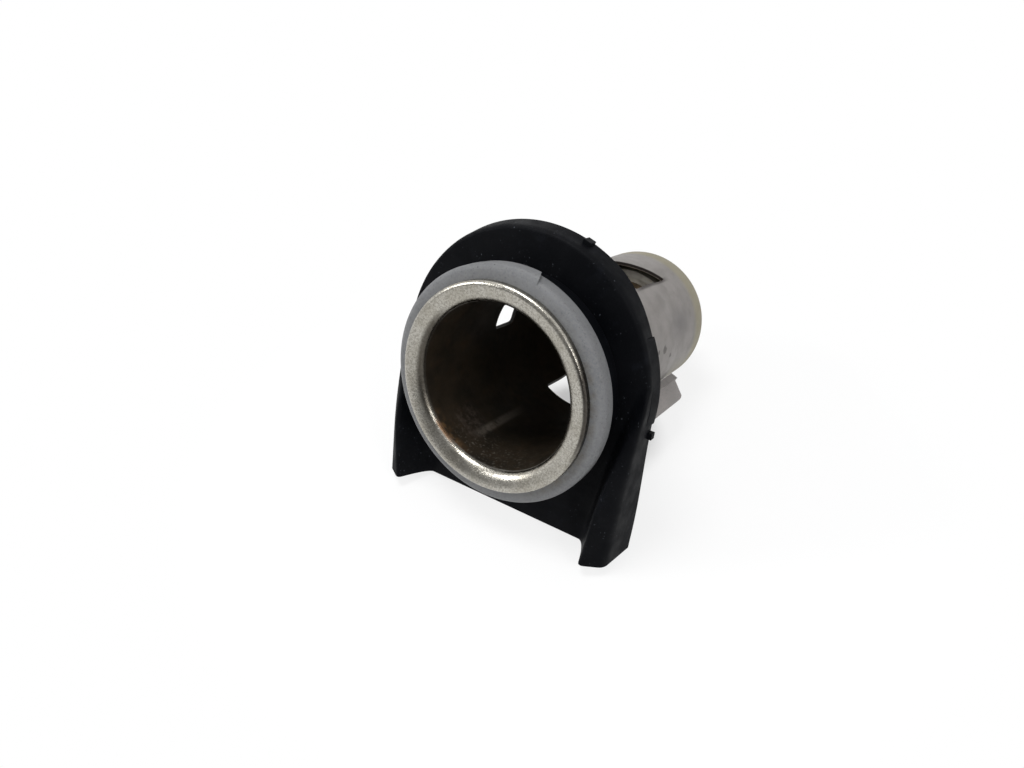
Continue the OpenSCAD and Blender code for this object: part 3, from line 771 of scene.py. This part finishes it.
def bore_color(m, y, angle):
    """Stained, dark inside of the bore with a pale smear, rust by the lip, and a deep end painted
    pale as light.
    """
    base = m.mix(m.ramp(m.noise(240, 5, 0.65), 0.3, 0.7), rgb(22, 18, 11), rgb(41, 33, 23))
    rust = m.times(m.ramp(m.noise(420, 5, 0.7), 0.5, 0.72), 0.3)
    base = m.mix(rust, base, rgb(60, 42, 24))
    low_left = m.near(angle, math.radians(-126), 0.12, 0.4)
    lip = m.times(m.ramp(y, 0.0014, 0.0), low_left, m.ramp(m.noise(900, 3), 0.35, 0.6))
    base = m.mix(m.times(lip, 0.6), base, rgb(104, 78, 50))
    streak = m.times(m.near(angle, math.radians(-115.5), 0.02, 0.08), m.ramp(y, 0.003, 0.007),
                     m.ramp(y, 0.016, 0.011), m.ramp(m.noise(600, 4, 0.7), 0.25, 0.55))
    base = m.mix(m.times(streak, 0.75), base, rgb(104, 97, 88))
    cloud = m.times(m.near(angle, math.radians(-126), 0.1, 0.32), m.near(y, 0.0048, 0.0012, 0.0032),
                    m.ramp(m.noise(1300, 4, 0.7), 0.4, 0.65))
    base = m.mix(m.times(cloud, 0.4), base, rgb(84, 74, 67))
    grain = m.times(m.ramp(m.noise(2600, 2, 0.6), 0.56, 0.7), m.near(angle, -1.55, 0.3, 0.9),
                    m.ramp(y, 0.009, 0.001))
    base = m.mix(m.times(grain, 0.6), base, rgb(98, 94, 86))
    # Painted light: deeper than 30 mm the bore turns pale grey, standing for light that falls in
    # through the windows.
    return m.mix(m.ramp(y, 0.030, 0.032), base, rgb(132, 124, 112))


def outside_color(m, y, angle):
    """Dull warm-grey plate with a yellowish tail, a painted yellowish reflection low on the rear, a
    soft patch of painted reflection, a line of painted shade by a grip window and three specks.
    """
    _, _, z = m.xyz()
    blotch = m.ramp(m.noise(330, 4, 0.6), 0.35, 0.7)
    base = m.mix(blotch, rgb(132, 128, 125), rgb(120, 116, 113))
    # Painted reflection: a darker soft patch high on the right of the rear, standing for dark
    # surroundings mirrored in the dull metal.
    patch = m.times(m.near(angle, math.radians(20.0), 0.0, 0.34), m.near(y, 0.0325, 0.0, 0.006), 0.8)
    base = m.mix(patch, base, rgb(102, 99, 98))
    # Painted reflection: low on the rear the plate is tinted yellowish; the band at the very end is
    # the plate's own yellowish tint.
    low = m.times(m.ramp(z, -0.001, -0.006), m.ramp(y, 0.030, 0.035))
    tail_tint_and_low_reflection = m.math("MAXIMUM", m.ramp(y, 0.0378, 0.0396), m.times(low, 0.6))
    base = m.mix(m.times(tail_tint_and_low_reflection, 0.8), base, rgb(134, 128, 106))
    # Painted shade: a soft dark line just below the lower edge of the grip window.
    edge = m.times(m.near(angle, math.radians(57.2), 0.014, 0.05),
                   m.near(y, 0.0292, 0.0035, 0.0066))
    base = m.mix(m.times(edge, 0.9), base, rgb(50, 44, 41))
    for at_angle, at_y, size in ((8.3, 0.0257, 0.0007), (8.1, 0.0235, 0.0004),
                                 (0.1, 0.0281, 0.0005)):
        mark = m.times(m.spot(angle, y, at_angle, at_y, size), 0.75)
        base = m.mix(mark, base, rgb(62, 58, 55))
    return base


def nickel():
    """Plated sheet: bright speckled rim, dull outside, stained bore."""
    m = Nodes("nickel_sheet")
    inside, edge, outside, y, radius, angle = sheet_masks(m)
    speckle = m.noise(4200, 3, 0.75)
    blotch = m.ramp(m.noise(330, 4, 0.6), 0.35, 0.7)
    rim = m.mix(blotch, rgb(182, 179, 171), rgb(168, 164, 154))
    rim = m.mix(m.ramp(speckle, 0.38, 0.66, 0.0, 0.6), rim, rgb(110, 106, 96))
    # Painted reflection: a dark strip by the inner lip on the left of the rim, standing for the dark
    # bore mirrored in the curve of the lip.
    far_side = m.near(m.math("ABSOLUTE", angle), math.radians(172), 0.35, 0.85)
    painted_dark_reflection = m.times(m.ramp(radius, 0.0115, 0.0109), far_side, 0.85)
    rim = m.mix(painted_dark_reflection, rim, rgb(56, 51, 44))
    # Painted shade: a thin dark line at the outer edge of the rim on its right, in the gap before the
    # ring.
    gap_shade_line = m.times(m.ramp(radius, 0.01262, 0.01285), m.near(angle, 0.15, 0.25, 0.75), 0.85)
    rim = m.mix(gap_shade_line, rim, rgb(34, 28, 24))
    burnt = m.times(m.near(angle, math.radians(-129), 0.06, 0.24), m.ramp(radius, 0.0108, 0.0106))
    rim = m.mix(m.times(burnt, 0.7), rim, rgb(150, 104, 58))
    color = m.mix(outside, rim, outside_color(m, y, angle))
    color = m.mix(inside, color, bore_color(m, y, angle))
    # The cut edges of the windows: dark oxide brown deepened as painted shade at the grip windows,
    # near-black painted shade at the catch windows.
    cut = m.mix(m.ramp(y, 0.020, 0.022), rgb(12, 11, 10), rgb(40, 34, 31))
    color = m.mix(edge, color, cut)
    normal = m.bump(speckle, 0.45, 0.00005)
    normal = m.bump(m.noise(900, 3, 0.6), 0.12, 0.00005, normal)
    dull = m.math("MAXIMUM", inside, outside)
    rough = m.ramp(m.noise(600, 4, 0.6), 0.3, 0.7, 0.2, 0.3)
    rough = m.math("ADD", rough, m.times(dull, 0.3))
    metal = m.math("SUBTRACT", 1.0, m.times(dull, 0.75))
    return m.principled(Base_Color=color, Roughness=rough, Normal=normal, Metallic=metal,
                        Specular_IOR_Level=0.25)


def metal(name, light, dark, rough_lo, rough_hi):
    """Plain metal with mottled colour and gloss."""
    m = Nodes(name)
    color = m.mix(m.ramp(m.noise(500, 4, 0.65), 0.35, 0.7), light, dark)
    normal = m.bump(m.noise(2400, 3, 0.6), 0.15, 0.00004)
    rough = m.ramp(m.noise(700, 3, 0.6), 0.3, 0.7, rough_lo, rough_hi)
    return m.principled(Base_Color=color, Roughness=rough, Normal=normal, Metallic=1.0)


def moulding(name, light, dark, rough_lo, rough_hi):
    """Plain plastic with mottled colour."""
    m = Nodes(name)
    color = m.mix(m.ramp(m.noise(400, 4, 0.65), 0.35, 0.7), light, dark)
    normal = m.bump(m.noise(1800, 3, 0.6), 0.2, 0.00005)
    rough = m.ramp(m.noise(600, 3, 0.6), 0.3, 0.7, rough_lo, rough_hi)
    return m.principled(Base_Color=color, Roughness=rough, Normal=normal, IOR=1.5)


def bulb_glass():
    """Clear glass with faint smears."""
    m = Nodes("clear_glass")
    smear = m.ramp(m.noise(500, 3, 0.6), 0.4, 0.7, 0.02, 0.12)
    tint = m.mix(m.noise(300, 2, 0.5), rgb(235, 240, 240), rgb(220, 226, 228))
    return m.principled(Base_Color=tint, Roughness=smear, IOR=1.5, Transmission_Weight=1.0)


def paint(obj, material):
    """Gives an object one material."""
    obj.data.materials.clear()
    obj.data.materials.append(material)


def floor_material():
    """Pale paper that keeps the shadow and turns into the white background."""
    m = Nodes("floor_paper")
    base = m.mix(m.noise(60, 2, 0.5), (0.85, 0.85, 0.85, 1.0), (0.87, 0.87, 0.87, 1.0))
    lit = m.new("ShaderNodeBsdfDiffuse")
    m.put(lit.inputs["Color"], base)
    white = m.new("ShaderNodeEmission")
    white.inputs["Strength"].default_value = 1.0
    x, y, _ = m.xyz()
    reach = m.math("SQRT", m.math("ADD", m.times(x, x), m.times(y, y)))
    blend = m.new("ShaderNodeMixShader")
    near = m.ramp(reach, 0.0098, 0.0145, 0.4, 0.8)
    path = m.new("ShaderNodeLightPath")
    seen = m.math("MAXIMUM", path.outputs["Is Camera Ray"], path.outputs["Is Glossy Ray"])
    seen = m.math("MAXIMUM", seen, path.outputs["Is Transmission Ray"])
    m.put(blend.inputs[0], m.times(m.math("MAXIMUM", near, m.ramp(reach, 0.02, 0.06)), seen))
    m.put(blend.inputs[1], lit.outputs[0])
    m.put(blend.inputs[2], white.outputs[0])
    m.put(m.out.inputs["Surface"], blend.outputs[0])
    return m.mat


def make_floor():
    """Round floor under the foot of the bezel and the end of the barrel."""
    steps = 96
    radius = 1500.0
    verts = [(radius * math.cos(2 * math.pi * i / steps),
              radius * math.sin(2 * math.pi * i / steps), 0.0) for i in range(steps)]
    obj = mesh_object("floor", verts, [tuple(range(steps))])
    turn = Matrix.Rotation(FLOOR_TILT, 4, "X")
    contact = Vector((0.0, BEZEL_REAR * MM, -FOOT_DROP * MM))
    middle = contact + turn @ Vector((0.0, 0.017, 0.0))
    obj.matrix_world = Matrix.Translation(middle) @ turn
    paint(obj, floor_material())


def area_light(name, spot, target, size, power):
    """Round lamp that faces the target."""
    data = bpy.data.lights.new(name, "AREA")
    data.shape = "DISK"
    data.size = size
    data.energy = power
    obj = bpy.data.objects.new(name, data)
    bpy.context.scene.collection.objects.link(obj)
    obj.location = spot
    obj.rotation_euler = (target - spot).to_track_quat("-Z", "Y").to_euler()


def make_lights():
    """Key lamp from above, and weaker ones from both sides of the front."""
    up = Vector((0.0, -math.sin(FLOOR_TILT), math.cos(FLOOR_TILT)))
    front = Vector((0.0, -math.cos(FLOOR_TILT), -math.sin(FLOOR_TILT)))
    right = Vector((1.0, 0.0, 0.0))
    target = Vector((0.0, 0.012, -0.002))
    area_light("key", target + up * 0.42 + front * 0.06 - right * 0.08, target, 0.18, 1.0)
    area_light("side", target + right * 0.34 + front * 0.16 + up * 0.24, target, 0.14, 0.5)
    area_light("fill", target - right * 0.32 + front * 0.22 + up * 0.2, target, 0.15, 0.55)


def background(tree, color, strength):
    """World shader of one colour."""
    node = tree.nodes.new("ShaderNodeBackground")
    node.inputs["Color"].default_value = color
    if isinstance(strength, bpy.types.NodeSocket):
        tree.links.new(strength, node.inputs["Strength"])
    else:
        node.inputs["Strength"].default_value = strength
    return node.outputs[0]


def choose(tree, fac, no, yes):
    """Mixes two world shaders by a factor."""
    node = tree.nodes.new("ShaderNodeMixShader")
    tree.links.new(fac, node.inputs[0])
    tree.links.new(no, node.inputs[1])
    tree.links.new(yes, node.inputs[2])
    return node.outputs[0]


def front_shade(tree):
    """Strength of the mirrored room: white all round, darker at the open front."""
    coords = tree.nodes.new("ShaderNodeTexCoord")
    dot = tree.nodes.new("ShaderNodeVectorMath")
    dot.operation = "DOT_PRODUCT"
    tree.links.new(coords.outputs["Generated"], dot.inputs[0])
    dot.inputs[1].default_value = (0.1, -0.99, 0.0)
    fade = tree.nodes.new("ShaderNodeMapRange")
    fade.interpolation_type = "SMOOTHSTEP"
    tree.links.new(dot.outputs["Value"], fade.inputs["Value"])
    fade.inputs["From Min"].default_value = 0.2
    fade.inputs["From Max"].default_value = 0.85
    fade.inputs["To Min"].default_value = 1.0
    fade.inputs["To Max"].default_value = 0.3
    return fade.outputs["Result"]


def make_world():
    """White where it is seen or mirrored; plain soft light elsewhere."""
    world = bpy.data.worlds.new("studio")
    bpy.context.scene.world = world
    world.use_nodes = True
    tree = world.node_tree
    tree.nodes.clear()
    path = tree.nodes.new("ShaderNodeLightPath")
    seen = tree.nodes.new("ShaderNodeMath")
    seen.operation = "MAXIMUM"
    tree.links.new(path.outputs["Is Camera Ray"], seen.inputs[0])
    tree.links.new(path.outputs["Is Transmission Ray"], seen.inputs[1])
    ambient = background(tree, (0.98, 0.99, 1.0, 1.0), 0.55)
    mirrored = background(tree, (1.0, 1.0, 1.0, 1.0), front_shade(tree))
    shown = background(tree, (1.0, 1.0, 1.0, 1.0), 1.0)
    unseen = choose(tree, path.outputs["Is Glossy Ray"], ambient, mirrored)
    out = tree.nodes.new("ShaderNodeOutputWorld")
    tree.links.new(choose(tree, seen.outputs[0], unseen, shown), out.inputs["Surface"])


def make_camera():
    """Camera fitted to the photo's outlines of the bore, rim, ring, arch and feet."""
    distance = 85.0
    pan_right = 2.7073
    pan_up = 0.7372
    focal_px = 720.649
    photo_px = 1024.0
    az = math.radians(31.3486)
    el = math.radians(23.4922)
    roll = math.radians(6.5135)
    back = Vector((math.sin(az) * math.cos(el), -math.cos(az) * math.cos(el), math.sin(el)))
    level = Vector((math.cos(az), math.sin(az), 0.0))
    upright = back.cross(level)
    right = math.cos(roll) * level + math.sin(roll) * upright
    up = -math.sin(roll) * level + math.cos(roll) * upright
    spot = right * pan_right + up * pan_up + back * distance
    spot.y -= 1.0
    data = bpy.data.cameras.new("camera")
    data.sensor_width = 36.0
    data.lens = focal_px / photo_px * data.sensor_width
    data.clip_start = 0.001
    data.clip_end = 10.0
    obj = bpy.data.objects.new("camera", data)
    bpy.context.scene.collection.objects.link(obj)
    turn = Matrix((right, up, back)).transposed().to_4x4()
    obj.matrix_world = Matrix.Translation(spot * MM) @ turn
    bpy.context.scene.camera = obj


def dress_nodes():
    """Materials for the solids that the scene shows as they are."""
    brass = metal("dull_brass", rgb(190, 150, 92), rgb(150, 116, 70), 0.3, 0.45)
    stained = metal("stained_brass", rgb(158, 138, 110), rgb(118, 102, 82), 0.4, 0.55)
    tin = metal("tin_plate", rgb(196, 196, 192), rgb(172, 172, 168), 0.28, 0.42)
    looks = {
        "contact_base": moulding("beige_moulding", rgb(206, 200, 188), rgb(186, 179, 166), 0.5, 0.65),
        "centre_contact": stained,
        "contact_rivet": brass,
        "rear_washer": moulding("pressed_fibre", rgb(74, 62, 50), rgb(56, 46, 38), 0.6, 0.75),
        "earth_terminal": tin,
        "positive_terminal": brass,
        "rivet_washer": tin,
        "lamp_housing": moulding("milky_moulding", rgb(214, 214, 208), rgb(200, 199, 191), 0.4, 0.5),
        "lamp_bulb": bulb_glass(),
        "lamp_holder": moulding("dark_moulding", rgb(52, 52, 55), rgb(40, 40, 43), 0.4, 0.55),
        "lamp_contacts": brass,
    }
    for node, material in looks.items():
        paint(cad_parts[node], material)


def add_piece(obj, node, material):
    """Puts a visual piece in the place of a solid."""
    paint(obj, material)
    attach(obj, "root")
    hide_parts(node)


make_camera()
make_world()
make_lights()
make_floor()
dress_nodes()
add_piece(make_barrel(), "socket_barrel", nickel())
add_piece(make_ring(), "light_ring", grey_plastic())
add_piece(make_bezel(), "trim_bezel", black_plastic())

bpy.context.scene.view_settings.view_transform = "Standard"
